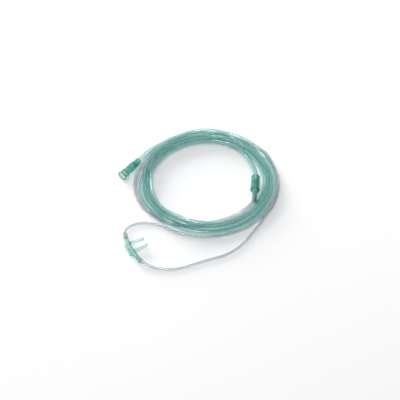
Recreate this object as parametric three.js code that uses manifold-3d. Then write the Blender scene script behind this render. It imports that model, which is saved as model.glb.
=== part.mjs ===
// Nasal oxygen cannula, coiled and laid flat.
//
// A green supply tube runs from a soft socket connector, four and a quarter
// turns around a coil, into a moulded junction inside the coil. Two thin clear
// tubes leave the junction, go once around with the coil, and end in the two
// sleeves of the nose piece. Millimetres, +Z up, everything on one floor at 0.

import * as THREE from 'three';
import { mergeVertices } from 'three/addons/utils/BufferGeometryUtils.js';
import Module from 'manifold-3d';

const wasm = await Module();
wasm.setup();

// Tubes
const supplyDiameter = 5.8;
const headsetDiameter = 3.3;
const fitClearance = 0.3; // between a tube and the bore that holds it
const touchGap = 0.3; // between pieces that lie against each other
const floorGap = 0.1; // under a tube that lies on the floor

// Coil, around the Z axis
const coilInnerRadius = 67;
const coilTubesWide = 3; // strands side by side on the floor
const coilSlack = 1.6; // room that the loosely laid strands share
const coilLayerRise = 4.9; // an upper strand nests between two lower ones

// Socket connector at the start of the supply tube
const connectorBearing = 158.5; // degrees around the coil to its tube end
const connectorStandoff = 6; // from the coil's edge to the middle of its tube end
const connectorHeading = 51.6; // degrees, from the mouth towards the tube
const connectorLength = 32.7;
const connectorBodyRadius = 4.9;
const connectorLip = { radius: 6.2, thickness: 1.7 };
const connectorCollar = { radius: 5.9, thickness: 1.5, fromMouth: 5.8 };
const connectorNeckRadius = 4.15;
const connectorTaperLength = 12;
const connectorSocket = { mouthRadius: 4.7, endRadius: 3.7, depth: 15 };
const connectorRibs = { count: 2, height: 0.4, thickness: 1.2, fromMouth: 18.8, pitch: 5 };
const connectorTubeDepth = 10;
const connectorPassageRadius = 2;

// Junction between the supply tube and the two headset tubes
const junctionBearing = -29.7; // degrees around the coil to the end of its stem
const junctionStandoff = 2.9; // from the coil's inner edge to the middle of that end
const junctionHeading = -93.1; // degrees, from its top towards its stem
const junctionBody = { radius: 5.25, length: 22.4 };
const junctionRim = { radius: 5.55, thickness: 1.3 };
const junctionCollar = { radius: 5.8, thickness: 1.6, fromBodyEnd: 0.9 };
const junctionTaper = 2.2;
const stemLength = 13.6;
const stemWall = 0.8;
const stemTubePitch = 3.9; // the two headset tubes leave one above the other
const junctionTubeDepth = 10;
const stemTubeDepth = 6;
const junctionPassageRadius = 1.9;

// Nose piece, a bowed hollow bar with two curved prongs
const noseMiddle = { x: -91.2, y: -105.4 };
const noseHeading = -65.9; // degrees, from the upper to the lower sleeve
const noseChord = 48.6;
const noseBow = 3.6; // the middle stands back from the prongs
const sleeveRadius = 2.7;
const noseBody = { halfLength: 9.5, width: 6.4, height: 7.4, shoulder: 4.5 };
const sleeveTubeDepth = 8;
const prongPitch = 13.4;
const prongTipPitch = 10;
const prongReach = 16.6; // from the chord between the sleeve ends
const prongRise = 2.2; // a prong curves upwards to its tip
const prongRadius = { base: 2.25, tip: 1.8 };
const prongBoreRadius = 1.15;
const lipTab = { length: 18, thickness: 1.4, reach: 1.9, corner: 3 };

// Where the loose tubes leave the coil, in degrees, and their routes from there
// along the floor, as points x, y
const tailLeaves = 55.0;
const headsetLeavesA = -38.6;
const headsetLeavesB = -129.2;
const supplyTailRoute = [
  [42.3, 46.9], [48.0, 39.6], [52.6, 30.6], [56.0, 20.6], [57.8, 12.4],
];
const headsetRouteA = [
  [62.6, -65.2], [56.6, -75.4], [47.9, -89.0], [40.6, -99.4], [31.6, -108.4],
  [19.6, -116.6], [8.0, -121.3], [-6.2, -126.6], [-19.6, -132.2], [-31.6, -137.0],
  [-45.6, -139.4], [-59.6, -138.2], [-71.0, -134.6],
];
const headsetRouteB = [
  [-65.0, -66.6], [-74.1, -65.0], [-83.0, -65.4], [-90.6, -67.6], [-96.6, -71.4],
  [-100.0, -75.9],
];

// Colours
const greenVinyl = new THREE.MeshStandardMaterial({ color: 0x79b8a5, roughness: 0.25 });
const mouldedGreen = new THREE.MeshStandardMaterial({ color: 0x6cb79c, roughness: 0.3 });
const softTeal = new THREE.MeshStandardMaterial({ color: 0x7fc4b4, roughness: 0.3 });
const clearVinyl = new THREE.MeshStandardMaterial({ color: 0xdfe6e6, roughness: 0.2 });

// Sizes that follow from the ones above
const supplyRadius = supplyDiameter / 2;
const headsetRadius = headsetDiameter / 2;
const coilOuterRadius = coilInnerRadius + coilTubesWide * supplyDiameter + coilSlack;
const connectorHeight = Math.max(connectorLip.radius, connectorCollar.radius);
const junctionHeight = Math.max(junctionCollar.radius, junctionRim.radius, junctionBody.radius);
const stemHalfWidth = headsetRadius + fitClearance + stemWall;
const noseHeight = Math.max(noseBody.height / 2, sleeveRadius);
const boreRadius = headsetRadius + fitClearance;
const stemEnd = junctionBody.length + junctionTaper + stemLength;

const radians = (degrees) => THREE.MathUtils.degToRad(degrees);

const atBearing = (degrees, distance, z = 0) => new THREE.Vector3(
  distance * Math.cos(radians(degrees)), distance * Math.sin(radians(degrees)), z,
);

// Shapes

function circle(radius, sides) {
  return new THREE.Shape().setFromPoints(
    Array.from({ length: sides }, (_, i) => {
      const angle = (i / sides) * 2 * Math.PI;
      return new THREE.Vector2(radius * Math.cos(angle), radius * Math.sin(angle));
    }),
  );
}

function tubeAlong(points, radius, spacing, sides = 8) {
  const path = new THREE.CatmullRomCurve3(points, false, 'centripetal');
  const steps = Math.max(2, Math.round(path.getLength() / spacing));
  return new THREE.ExtrudeGeometry(circle(radius, sides), {
    steps, bevelEnabled: false, extrudePath: path,
  });
}

// Rings of points, all alike in number, joined into one closed skin
function loft(rings) {
  const sides = rings[0].length;
  const middle = (ring) => ring.reduce((sum, p) => sum.add(p), new THREE.Vector3())
    .divideScalar(sides);
  const points = [...rings.flat(), middle(rings[0]), middle(rings[rings.length - 1])];
  const index = [];
  for (let i = 0; i + 1 < rings.length; i += 1) {
    for (let j = 0; j < sides; j += 1) {
      const a = i * sides + j;
      const b = i * sides + ((j + 1) % sides);
      index.push(a, b, b + sides, a, b + sides, a + sides);
    }
  }
  const last = (rings.length - 1) * sides;
  for (let j = 0; j < sides; j += 1) {
    const k = (j + 1) % sides;
    index.push(points.length - 2, k, j, points.length - 1, last + j, last + k);
  }
  const geometry = new THREE.BufferGeometry().setFromPoints(points);
  geometry.setIndex(index);
  return geometry;
}

// An oval section of given half sizes, carried along a curve
function ovalAlong(curve, stations, halfWidthAt, halfHeightAt, sides = 20) {
  const up = new THREE.Vector3(0, 0, 1);
  return loft(stations.map((t) => {
    const centre = curve.getPointAt(t);
    const along = curve.getTangentAt(t);
    const across = new THREE.Vector3().crossVectors(along, up).normalize();
    const over = new THREE.Vector3().crossVectors(across, along).normalize();
    return Array.from({ length: sides }, (_, j) => {
      const angle = (j / sides) * 2 * Math.PI;
      return centre.clone()
        .addScaledVector(across, halfWidthAt(t) * Math.cos(angle))
        .addScaledVector(over, -halfHeightAt(t) * Math.sin(angle));
    });
  }));
}

const evenly = (count) => Array.from({ length: count + 1 }, (_, i) => i / count);

// Joining and cutting

function toSolid(geometry) {
  const bare = geometry.clone();
  bare.deleteAttribute('normal');
  bare.deleteAttribute('uv');
  const merged = mergeVertices(bare, 1e-4);
  return new wasm.Manifold(new wasm.Mesh({
    numProp: 3,
    vertProperties: new Float32Array(merged.attributes.position.array),
    triVerts: new Uint32Array(merged.index.array),
  }));
}

function toGeometry(solid) {
  const { vertProperties, triVerts, numProp } = solid.getMesh();
  const geometry = new THREE.BufferGeometry();
  const position = new Float32Array((vertProperties.length / numProp) * 3);
  for (let i = 0; i < position.length / 3; i += 1) {
    position.set(vertProperties.subarray(i * numProp, i * numProp + 3), i * 3);
  }
  geometry.setAttribute('position', new THREE.BufferAttribute(position, 3));
  geometry.setIndex(new THREE.BufferAttribute(new Uint32Array(triVerts), 1));
  geometry.computeVertexNormals();
  return geometry;
}

function cut(geometry, tools) {
  return toGeometry(tools.reduce((solid, tool) => solid.subtract(toSolid(tool)), toSolid(geometry)));
}

function join(geometries) {
  return toGeometry(geometries.map(toSolid).reduce((solid, other) => solid.add(other)));
}

// A solid turned about +Y from pairs of radius and place along the axis
function turned(profile, segments = 32) {
  return new THREE.LatheGeometry(profile.map(([r, y]) => new THREE.Vector2(r, y)), segments);
}

// Coil of the supply tube

function coilGeometry() {
  const strand = supplyRadius;
  const round = strand * (1 - Math.SQRT1_2);
  const floorTop = supplyDiameter;
  const top = supplyDiameter + coilLayerRise;
  const shoulder = strand + coilSlack / 2;
  const inner = coilInnerRadius;
  const outer = coilOuterRadius;
  const profile = [
    [inner, strand], [inner + round, floorTop - round], [inner + strand, floorTop],
    [inner + shoulder, floorTop + 0.8], [inner + shoulder + round, top - round],
    [inner + 2 * strand + round, top], [outer - 2 * strand - round, top],
    [outer - shoulder - round, top - round], [outer - shoulder, floorTop + 0.8],
    [outer - strand, floorTop], [outer - round, floorTop - round], [outer, strand],
    [outer - round, round], [outer - strand, 0], [inner + strand, 0], [inner + round, round],
    [inner, strand],
  ];
  return turned(profile.reverse(), 72).rotateX(Math.PI / 2);
}

// Socket connector, mouth at the local origin, tube end on -Y

function connectorGeometry() {
  const body = connectorBodyRadius;
  const taperStart = connectorLength - connectorTaperLength;
  const radiusAt = (s) => {
    const share = THREE.MathUtils.clamp((s - taperStart) / (connectorTaperLength * 0.7), 0, 1);
    return THREE.MathUtils.lerp(body, connectorNeckRadius, share);
  };
  const band = (from, thickness, radius) => {
    const edge = Math.min(0.35, thickness / 3);
    return [
      [radiusAt(from), -from], [radius, -from - edge], [radius, -from - thickness + edge],
      [radiusAt(from + thickness), -from - thickness],
    ];
  };
  const { count, height, thickness, fromMouth, pitch } = connectorRibs;
  const ribs = Array.from({ length: count }, (_, i) => {
    const from = fromMouth + i * pitch;
    return band(from, thickness, radiusAt(from) + height);
  }).flat();
  const tubeBore = supplyRadius + fitClearance;
  const profile = [
    [connectorSocket.mouthRadius, 0], [connectorLip.radius, 0],
    [connectorLip.radius, -connectorLip.thickness + 0.4],
    [body, -connectorLip.thickness],
    ...band(connectorCollar.fromMouth, connectorCollar.thickness, connectorCollar.radius),
    ...ribs,
    [connectorNeckRadius, -connectorLength],
    [tubeBore, -connectorLength], [tubeBore, -connectorLength + connectorTubeDepth],
    [connectorPassageRadius, -connectorLength + connectorTubeDepth],
    [connectorPassageRadius, -connectorSocket.depth],
    [connectorSocket.endRadius, -connectorSocket.depth],
    [connectorSocket.mouthRadius, 0],
  ];
  return turned(profile.reverse());
}

// Junction, top at the local origin, stem on -Y, outlets one above the other along Z

function junctionGeometry() {
  const body = junctionBody.radius;
  const collarEnd = junctionBody.length - junctionCollar.fromBodyEnd;
  const bodyEnd = junctionBody.length;
  const edge = 0.35;
  const neck = stemHalfWidth + 0.6;
  const profile = [
    [0, 0], [junctionRim.radius - edge, 0], [junctionRim.radius, -edge],
    [junctionRim.radius, -junctionRim.thickness + edge], [body, -junctionRim.thickness],
    [body, -collarEnd + junctionCollar.thickness],
    [junctionCollar.radius, -collarEnd + junctionCollar.thickness - edge],
    [junctionCollar.radius, -collarEnd + edge],
    [body, -collarEnd], [body - edge, -bodyEnd],
    [neck, -bodyEnd - junctionTaper], [0, -bodyEnd - junctionTaper],
  ];
  const stemShape = new THREE.Shape();
  stemShape.absarc(0, stemTubePitch / 2, stemHalfWidth, 0, Math.PI, false);
  stemShape.absarc(0, -stemTubePitch / 2, stemHalfWidth, Math.PI, 2 * Math.PI, false);
  const stem = new THREE.ExtrudeGeometry(stemShape, {
    depth: stemLength + junctionTaper + 1, bevelEnabled: false, curveSegments: 10,
  });
  stem.rotateX(Math.PI / 2).translate(0, -bodyEnd + 1, 0);
  const bore = (radius, from, to, z) => new THREE.CylinderGeometry(radius, radius, to - from, 20)
    .translate(0, -(from + to) / 2, z);
  return cut(join([turned(profile.reverse()), stem]), [
    bore(supplyRadius + fitClearance, -1, junctionTubeDepth, 0),
    bore(junctionPassageRadius, junctionTubeDepth - 1, stemEnd - stemTubeDepth - 3, 0),
    bore(boreRadius, stemEnd - stemTubeDepth - 5, stemEnd + 1, stemTubePitch / 2),
    bore(boreRadius, stemEnd - stemTubeDepth - 5, stemEnd + 1, -stemTubePitch / 2),
  ]);
}

// Nose piece, bar along local X, prongs towards +Y, middle of the chord at the origin

const noseCurve = new THREE.QuadraticBezierCurve3(
  new THREE.Vector3(-noseChord / 2, 0, 0),
  new THREE.Vector3(0, -2 * noseBow, 0),
  new THREE.Vector3(noseChord / 2, 0, 0),
);

function noseGeometry() {
  const half = noseChord / 2;
  const swell = (t) => {
    const away = Math.abs(noseCurve.getPointAt(t).x) - noseBody.halfLength;
    return 1 - THREE.MathUtils.smoothstep(away, 0, noseBody.shoulder);
  };
  const widthAt = (t) => THREE.MathUtils.lerp(sleeveRadius, noseBody.width / 2, swell(t));
  const heightAt = (t) => THREE.MathUtils.lerp(sleeveRadius, noseBody.height / 2, swell(t));
  const bar = ovalAlong(noseCurve, evenly(28), widthAt, heightAt);
  const prongCurve = (side) => new THREE.QuadraticBezierCurve3(
    new THREE.Vector3(side * prongPitch / 2, -noseBow, 0),
    new THREE.Vector3(side * prongPitch / 2, prongReach * 0.55, prongRise * 0.1),
    new THREE.Vector3(side * prongTipPitch / 2, prongReach, prongRise),
  );
  const prongRadiusAt = (t) => THREE.MathUtils.lerp(prongRadius.base, prongRadius.tip, t);
  const prongs = [-1, 1].map((side) => ovalAlong(
    prongCurve(side), evenly(9), prongRadiusAt, prongRadiusAt, 16,
  ));
  const prongBores = [-1, 1].map((side) => {
    const curve = prongCurve(side);
    const beyond = curve.getPointAt(1).addScaledVector(curve.getTangentAt(1), 1);
    const longer = new THREE.CatmullRomCurve3([...curve.getSpacedPoints(8), beyond]);
    return ovalAlong(longer, evenly(10), () => prongBoreRadius, () => prongBoreRadius, 12);
  });
  const ends = [0, 1].map((t) => noseCurve.getPointAt(t)
    .addScaledVector(noseCurve.getTangentAt(t), t === 0 ? -1 : 1));
  const passage = new THREE.CatmullRomCurve3([ends[0], ...noseCurve.getSpacedPoints(20), ends[1]]);
  const tabEnd = lipTab.length / 2;
  const tabBack = -noseBow - noseBody.width / 2 - lipTab.reach;
  const tabShape = new THREE.Shape()
    .moveTo(tabEnd, -noseBow)
    .lineTo(-tabEnd, -noseBow)
    .absarc(-tabEnd + lipTab.corner, tabBack + lipTab.corner, lipTab.corner,
      Math.PI, 1.5 * Math.PI, false)
    .absarc(tabEnd - lipTab.corner, tabBack + lipTab.corner, lipTab.corner,
      1.5 * Math.PI, 2 * Math.PI, false);
  const tab = new THREE.ExtrudeGeometry(tabShape, {
    depth: lipTab.thickness, bevelEnabled: false, curveSegments: 6,
  }).translate(0, 0, -noseBody.height / 2);
  return cut(join([bar, ...prongs, tab]), [
    ovalAlong(passage, evenly(24), () => boreRadius, () => boreRadius, 16),
    ...prongBores,
  ]);
}

// Assembly

const cannula = new THREE.Group();

function add(name, geometry, material) {
  const mesh = new THREE.Mesh(geometry, material);
  mesh.name = name;
  cannula.add(mesh);
  return mesh;
}

const coil = add('supply_coil', coilGeometry(), greenVinyl);
coil.position.z = floorGap;

const connector = add('socket_connector', connectorGeometry(), mouldedGreen);
connector.position.copy(atBearing(
  connectorBearing, coilOuterRadius + connectorStandoff, connectorHeight,
)).sub(atBearing(connectorHeading, connectorLength));
connector.rotation.z = radians(connectorHeading + 90);

const junction = add('tube_junction', junctionGeometry(), mouldedGreen);
junction.position.copy(atBearing(
  junctionBearing, coilInnerRadius - junctionStandoff, junctionHeight,
)).sub(atBearing(junctionHeading, stemEnd));
junction.rotation.z = radians(junctionHeading + 90);

const nosePiece = add('nose_piece', noseGeometry(), softTeal);
nosePiece.position.set(noseMiddle.x, noseMiddle.y, noseHeight);
nosePiece.rotation.z = radians(noseHeading);
cannula.updateMatrixWorld(true);

// Tubes between the fittings and the coil

const inPart = (mesh, x, y, z) => mesh.localToWorld(new THREE.Vector3(x, y, z));

// A place beside the coil, outside it for a positive radius, inside it for a negative one
function besideCoil(degrees, radius) {
  const edge = radius > 0 ? coilOuterRadius + touchGap : coilInnerRadius - touchGap;
  const { x, y } = atBearing(degrees, edge + radius);
  return [x, y];
}

// The point where a line from a fitting comes to a given distance from the coil's axis
function meetCoil(from, heading, distance) {
  const along = from.x * heading.x + from.y * heading.y;
  const away = Math.hypot(from.x, from.y);
  const half = Math.sqrt(Math.max(0, along ** 2 - away ** 2 + distance ** 2));
  return from.clone().addScaledVector(heading, away > distance ? -along - half : half - along);
}

function connectorLead() {
  const inside = -connectorLength + connectorTubeDepth - touchGap;
  const seat = inPart(connector, 0, inside, 0);
  const exit = inPart(connector, 0, -connectorLength, 0);
  const heading = exit.clone().sub(seat).normalize();
  const above = exit.z - supplyRadius - floorGap;
  const limit = coilOuterRadius - supplyRadius
    + Math.sqrt(Math.max(0, (supplyDiameter + touchGap) ** 2 - above ** 2));
  return tubeAlong([seat, exit, meetCoil(exit, heading, limit)], supplyRadius, 5, 10);
}

function junctionTail() {
  const seat = inPart(junction, 0, -junctionTubeDepth + touchGap, 0);
  const exit = inPart(junction, 0, 0, 0);
  const route = [besideCoil(tailLeaves, -supplyRadius), ...supplyTailRoute];
  const last = route.length - 1;
  const high = coilLayerRise + supplyRadius;
  const points = route.map(([x, y], i) => new THREE.Vector3(
    x, y, THREE.MathUtils.lerp(high, exit.z, THREE.MathUtils.smoothstep(i / last, 0, 1)),
  ));
  return tubeAlong([...points, exit, seat], supplyRadius, 7, 10);
}

function headsetStub(side) {
  const z = side * stemTubePitch / 2;
  const seat = inPart(junction, 0, -stemEnd + stemTubeDepth - touchGap, z);
  const exit = inPart(junction, 0, -stemEnd, z);
  const heading = exit.clone().sub(seat).normalize();
  const limit = coilInnerRadius - headsetRadius - touchGap;
  return tubeAlong([seat, exit, meetCoil(exit, heading, limit)], headsetRadius, 5);
}

function headsetRun(leaves, loose, side) {
  const route = [besideCoil(leaves, headsetRadius), ...loose];
  const x = side * noseChord / 2;
  const tangent = noseCurve.getTangentAt(side < 0 ? 0 : 1).multiplyScalar(side);
  const sleeve = (depth) => inPart(nosePiece, x - depth * tangent.x, -depth * tangent.y, 0);
  const curvePoint = noseCurve.getPointAt(
    side < 0 ? sleeveTubeDepth / noseCurve.getLength() : 1 - sleeveTubeDepth / noseCurve.getLength(),
  );
  const seat = nosePiece.localToWorld(curvePoint);
  const floor = headsetRadius + floorGap;
  const rise = noseHeight - floor;
  const last = route.length - 1;
  const points = route.map(([px, py], i) => new THREE.Vector3(
    px, py, i === last ? floor + rise * 0.35 : floor,
  ));
  return tubeAlong([...points, sleeve(-2), sleeve(0), seat], headsetRadius, 6);
}

add('supply_lead', connectorLead(), greenVinyl);
add('supply_tail', junctionTail(), greenVinyl);
add('headset_stub_a', headsetStub(-1), clearVinyl);
add('headset_stub_b', headsetStub(1), clearVinyl);
add('headset_tube_a', headsetRun(headsetLeavesA, headsetRouteA, 1), clearVinyl);
add('headset_tube_b', headsetRun(headsetLeavesB, headsetRouteB, -1), clearVinyl);

// The origin is under the middle of the three fittings, on the floor

const extent = new THREE.Box3();
for (const fitting of [connector, junction, nosePiece]) extent.expandByObject(fitting, true);
const middle = extent.getCenter(new THREE.Vector3());
cannula.position.set(-middle.x, -middle.y, -extent.min.z);

export default cannula;
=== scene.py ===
"""Looks of a coiled nasal oxygen cannula, laid on a pale floor.

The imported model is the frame. The tubes, the socket connector, the junction and
the nose piece are made here as fine hollow surfaces that stand for its solids.
Sizes are in millimetres from the coil's axis, and become metres of the frame in
Layout.metres, just before a mesh is made.
"""

import logging
import math
from dataclasses import dataclass, field
from enum import Enum
from typing import Any, Callable, Sequence

import bmesh
import bpy
import numpy as np
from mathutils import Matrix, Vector

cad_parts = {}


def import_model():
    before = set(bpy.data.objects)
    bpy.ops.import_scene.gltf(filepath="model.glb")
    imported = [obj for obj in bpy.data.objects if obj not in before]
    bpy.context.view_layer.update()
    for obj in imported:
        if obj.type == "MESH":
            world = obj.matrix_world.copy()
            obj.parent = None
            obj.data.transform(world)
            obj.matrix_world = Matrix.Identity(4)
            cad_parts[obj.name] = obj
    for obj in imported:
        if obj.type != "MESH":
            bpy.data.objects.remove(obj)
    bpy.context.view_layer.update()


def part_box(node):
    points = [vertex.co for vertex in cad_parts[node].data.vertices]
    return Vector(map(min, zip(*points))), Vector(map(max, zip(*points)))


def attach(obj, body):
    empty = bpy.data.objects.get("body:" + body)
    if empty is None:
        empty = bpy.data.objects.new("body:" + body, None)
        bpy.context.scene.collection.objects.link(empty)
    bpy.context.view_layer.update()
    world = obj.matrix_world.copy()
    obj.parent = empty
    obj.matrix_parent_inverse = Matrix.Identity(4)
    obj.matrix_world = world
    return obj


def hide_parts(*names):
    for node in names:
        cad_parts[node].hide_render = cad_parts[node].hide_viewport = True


logging.basicConfig(level=logging.INFO, format="%(name)s %(message)s")
log = logging.getLogger("cannula")

MM = 0.001
Grid = np.ndarray


class Slot(Enum):
    """The record's material slots."""

    SUPPLY = "supply_vinyl"
    MOULDED = "moulded_vinyl"
    SOFT = "soft_vinyl"
    CLEAR = "clear_vinyl"


# Shader expressions


class Val:
    """A shader socket that can be used in Python sums and products."""

    def __init__(self, tree: bpy.types.NodeTree, socket: Any) -> None:
        """Keeps the socket and the tree it is in."""
        self.tree = tree
        self.socket = socket

    def _maths(self, operation: str, a: Any, b: Any) -> "Val":
        """Adds one Math node.

        Args:
            operation: The Math node's operation.
            a: First value or socket.
            b: Second value or socket.

        Returns:
            The node's result.
        """
        return Shade(self.tree).node("ShaderNodeMath", {"operation": operation}, {0: a, 1: b})

    def __add__(self, other: Any) -> "Val":
        """Sum."""
        return self._maths("ADD", self, other)

    def __radd__(self, other: Any) -> "Val":
        """Sum, from the right."""
        return self._maths("ADD", other, self)

    def __sub__(self, other: Any) -> "Val":
        """Difference."""
        return self._maths("SUBTRACT", self, other)

    def __rsub__(self, other: Any) -> "Val":
        """Difference, from the right."""
        return self._maths("SUBTRACT", other, self)

    def __mul__(self, other: Any) -> "Val":
        """Product."""
        return self._maths("MULTIPLY", self, other)

    def __rmul__(self, other: Any) -> "Val":
        """Product, from the right."""
        return self._maths("MULTIPLY", other, self)

    def clamp(self) -> "Val":
        """Value kept between 0 and 1."""
        return self._maths("MAXIMUM", self._maths("MINIMUM", self, 1.0), 0.0)


class Shade:
    """One way to add any node to a material's tree."""

    def __init__(self, tree: bpy.types.NodeTree) -> None:
        """Keeps the tree that nodes are added to."""
        self.tree = tree

    def node(
        self,
        kind: str,
        settings: dict[str, Any] | None = None,
        inputs: dict[Any, Any] | None = None,
        out: Any = 0,
    ) -> Val:
        """Adds a node.

        Args:
            kind: The node's type name.
            settings: Attributes to set first; "stops" fills a colour ramp.
            inputs: Values or links by socket name or number.
            out: The output wanted, by name or number.

        Returns:
            The chosen output.
        """
        made = self.tree.nodes.new(kind)
        for name, value in (settings or {}).items():
            if name == "stops":
                ramp = made.color_ramp
                while len(ramp.elements) < len(value):
                    ramp.elements.new(0.5)
                for element, (place, colour) in zip(ramp.elements, value):
                    element.position, element.color = place, colour
            else:
                setattr(made, name, value)
        for name, value in (inputs or {}).items():
            socket = made.inputs[name]
            if isinstance(value, Val):
                self.tree.links.new(value.socket, socket)
            else:
                socket.default_value = value
        outputs = made.outputs
        return Val(self.tree, outputs[out] if len(outputs) else None)


def rgba(colour: Sequence[float]) -> tuple[float, float, float, float]:
    """Colour with full alpha."""
    return (colour[0], colour[1], colour[2], 1.0)


@dataclass(frozen=True)
class Vinyl:
    """Clear or tinted soft vinyl, which bends light and takes colour with depth."""

    name: str
    surface: tuple[float, float, float]
    depth_colour: tuple[float, float, float]
    depth: float
    body: tuple[float, float, float]
    light_passed: tuple[float, float, float]
    haze: float = 0.06
    haze_change: float = 0.05
    ior: float = 1.52
    roughness: float = 0.03
    scuff: float = 0.06
    ripple: float = 0.02
    ripple_scale: float = 190.0
    cloud_scale: float = 38.0
    speck_scale: float = 1400.0
    speck_share: float = 0.15
    bump_height: float = 0.0003
    tint_left: float = 0.6

    def make(self) -> bpy.types.Material:
        """Builds the material.

        Returns:
            Glossy see-through vinyl with a little clouded body mixed in, more in
            some places by slow noise. The walls take up light with depth, and
            lamps shine through to what lies under them.
        """
        material = bpy.data.materials.new(self.name)
        material.use_nodes = True
        tree = material.node_tree
        tree.nodes.clear()
        shade = Shade(tree)
        place = shade.node("ShaderNodeTexCoord", out="Object")
        slow = self._noise(shade, place, self.cloud_scale, 2.0)
        fine = self._noise(shade, place, self.ripple_scale, 3.0)
        specks = self._noise(shade, place, self.speck_scale, 2.0)
        relief = fine + self.speck_share * specks
        swell = {"Strength": self.ripple, "Distance": self.bump_height, "Height": relief}
        bump = shade.node("ShaderNodeBump", {}, swell, "Normal")
        roughness = self.roughness + self.scuff * (slow * specks)
        gloss = {"Roughness": roughness, "IOR": self.ior, "Normal": bump}
        paler = rgba([1 - (1 - c) * self.tint_left for c in self.surface])
        mix = {0: slow, 6: rgba(self.surface), 7: paler}
        tint = shade.node("ShaderNodeMix", {"data_type": "RGBA"}, mix, 2)
        clear = shade.node(
            "ShaderNodeBsdfPrincipled",
            {},
            {"Base Color": tint, "Transmission Weight": 1.0, **gloss},
        )
        clouded = shade.node(
            "ShaderNodeBsdfPrincipled", {}, {"Base Color": rgba(self.body), **gloss}
        )
        share = (self.haze + self.haze_change * (slow - 0.5)).clamp()
        seen = shade.node("ShaderNodeMixShader", {}, {0: share, 1: clear, 2: clouded})
        lamp = shade.node("ShaderNodeLightPath", out="Is Shadow Ray")
        through = shade.node(
            "ShaderNodeBsdfTransparent", {}, {"Color": rgba(self.light_passed)}
        )
        surface = shade.node("ShaderNodeMixShader", {}, {0: lamp, 1: seen, 2: through})
        depth = {"Color": rgba(self.depth_colour), "Density": self.depth}
        inside = shade.node("ShaderNodeVolumeAbsorption", {}, depth)
        shade.node("ShaderNodeOutputMaterial", {}, {"Surface": surface, "Volume": inside})
        return material

    def _noise(self, shade: Shade, place: Val, scale: float, detail: float) -> Val:
        """Noise of the surface's own coordinates, in waves a metre."""
        return shade.node(
            "ShaderNodeTexNoise", {}, {"Vector": place, "Scale": scale, "Detail": detail}, 0
        )


# Surfaces


def put_mesh(name: str, points: Grid, faces: Sequence[Sequence[int]]) -> bpy.types.Object:
    """Makes a smooth-shaded mesh object at the origin.

    Args:
        name: Object's name.
        points: Vertices, n by 3, in metres.
        faces: Vertex numbers of each face.

    Returns:
        The new object, its faces turned outwards.
    """
    mesh = bpy.data.meshes.new(name)
    mesh.from_pydata(points.tolist(), [], faces)
    work = bmesh.new()
    work.from_mesh(mesh)
    bmesh.ops.recalc_face_normals(work, faces=work.faces)
    work.to_mesh(mesh)
    work.free()
    mesh.shade_smooth()
    piece = bpy.data.objects.new(name, mesh)
    bpy.context.scene.collection.objects.link(piece)
    return piece


def ring_faces(rows: int, sides: int, closed: bool) -> list[list[int]]:
    """Faces of rows of rings joined one to the next.

    Args:
        rows: Number of rings.
        sides: Points in a ring.
        closed: Whether the last ring joins the first; otherwise both get a cap.

    Returns:
        Vertex numbers of each face.
    """
    i = np.arange(rows if closed else rows - 1)[:, None]
    j = np.arange(sides)[None, :]
    k, n = (j + 1) % sides, (i + 1) % rows
    quads = np.stack([i * sides + j, i * sides + k, n * sides + k, n * sides + j], -1)
    faces = quads.reshape(-1, 4).tolist()
    if not closed:
        last = (rows - 1) * sides
        faces += [list(range(sides))[::-1], [last + s for s in range(sides)]]
    return faces


def frames_along(path: Grid) -> tuple[Grid, Grid]:
    """Two unit directions across a path, level and upright.

    Args:
        path: Points of the path, n by 3.

    Returns:
        Level and upright directions: the level one is the path's heading crossed
        with +Z, the upright one crosses level with heading.
    """
    heading = np.gradient(path, axis=0)
    heading /= np.linalg.norm(heading, axis=1, keepdims=True)
    level = np.cross(heading, [0.0, 0.0, 1.0])
    level /= np.linalg.norm(level, axis=1, keepdims=True)
    return level, np.cross(level, heading)


def rings_along(path: Grid, half_width: Grid, half_height: Grid, sides: int) -> Grid:
    """Carries an ellipse along a path.

    Args:
        path: Points of the path, n by 3.
        half_width: Half the level size at each point, or one number.
        half_height: Half the upright size at each point, or one number.
        sides: Points around the ellipse.

    Returns:
        Ring points, rows by sides by 3: path plus cosine times half the width
        level and sine times half the height upright.
    """
    level, upright = frames_along(path)
    angle = np.arange(sides) / sides * 2 * math.pi
    wide = np.broadcast_to(half_width, len(path))[:, None, None]
    high = np.broadcast_to(half_height, len(path))[:, None, None]
    across = wide * np.cos(angle)[None, :, None] * level[:, None, :]
    over = high * np.sin(angle)[None, :, None] * upright[:, None, :]
    return path[:, None, :] + across + over


def rounded(corners: Sequence[tuple[float, float, float]], step: float) -> Grid:
    """An outline with rounded corners and no long gap between points.

    Args:
        corners: Place, distance and corner radius of each corner, in order.
        step: Longest gap.

    Returns:
        Points of the outline, n by 2. A corner is a quadratic curve from its
        radius before it to its radius after it, at most half of each side.
    """
    spots = np.array(corners, float)
    points: list[Grid] = []
    bend = np.linspace(0, 1, 6)[:, None]
    for i, (here, radius) in enumerate(zip(spots[:, :2], spots[:, 2])):
        if i in (0, len(spots) - 1) or radius == 0:
            points.append(here[None, :])
            continue
        before, after = spots[i - 1, :2] - here, spots[i + 1, :2] - here
        back, on = np.linalg.norm(before), np.linalg.norm(after)
        start = here + before / back * min(radius, back * 0.5)
        end = here + after / on * min(radius, on * 0.5)
        points.append((1 - bend) ** 2 * start + 2 * bend * (1 - bend) * here + bend**2 * end)
    line = np.concatenate(points)
    gaps = np.linalg.norm(np.diff(line, axis=0), axis=1)
    filled = [line[:1]]
    for start, end, gap in zip(line[:-1], line[1:], gaps):
        if gap > 1e-6:
            share = np.linspace(0, 1, max(1, math.ceil(gap / step)) + 1)[1:, None]
            filled.append(start + (end - start) * share)
    return np.concatenate(filled)


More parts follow.
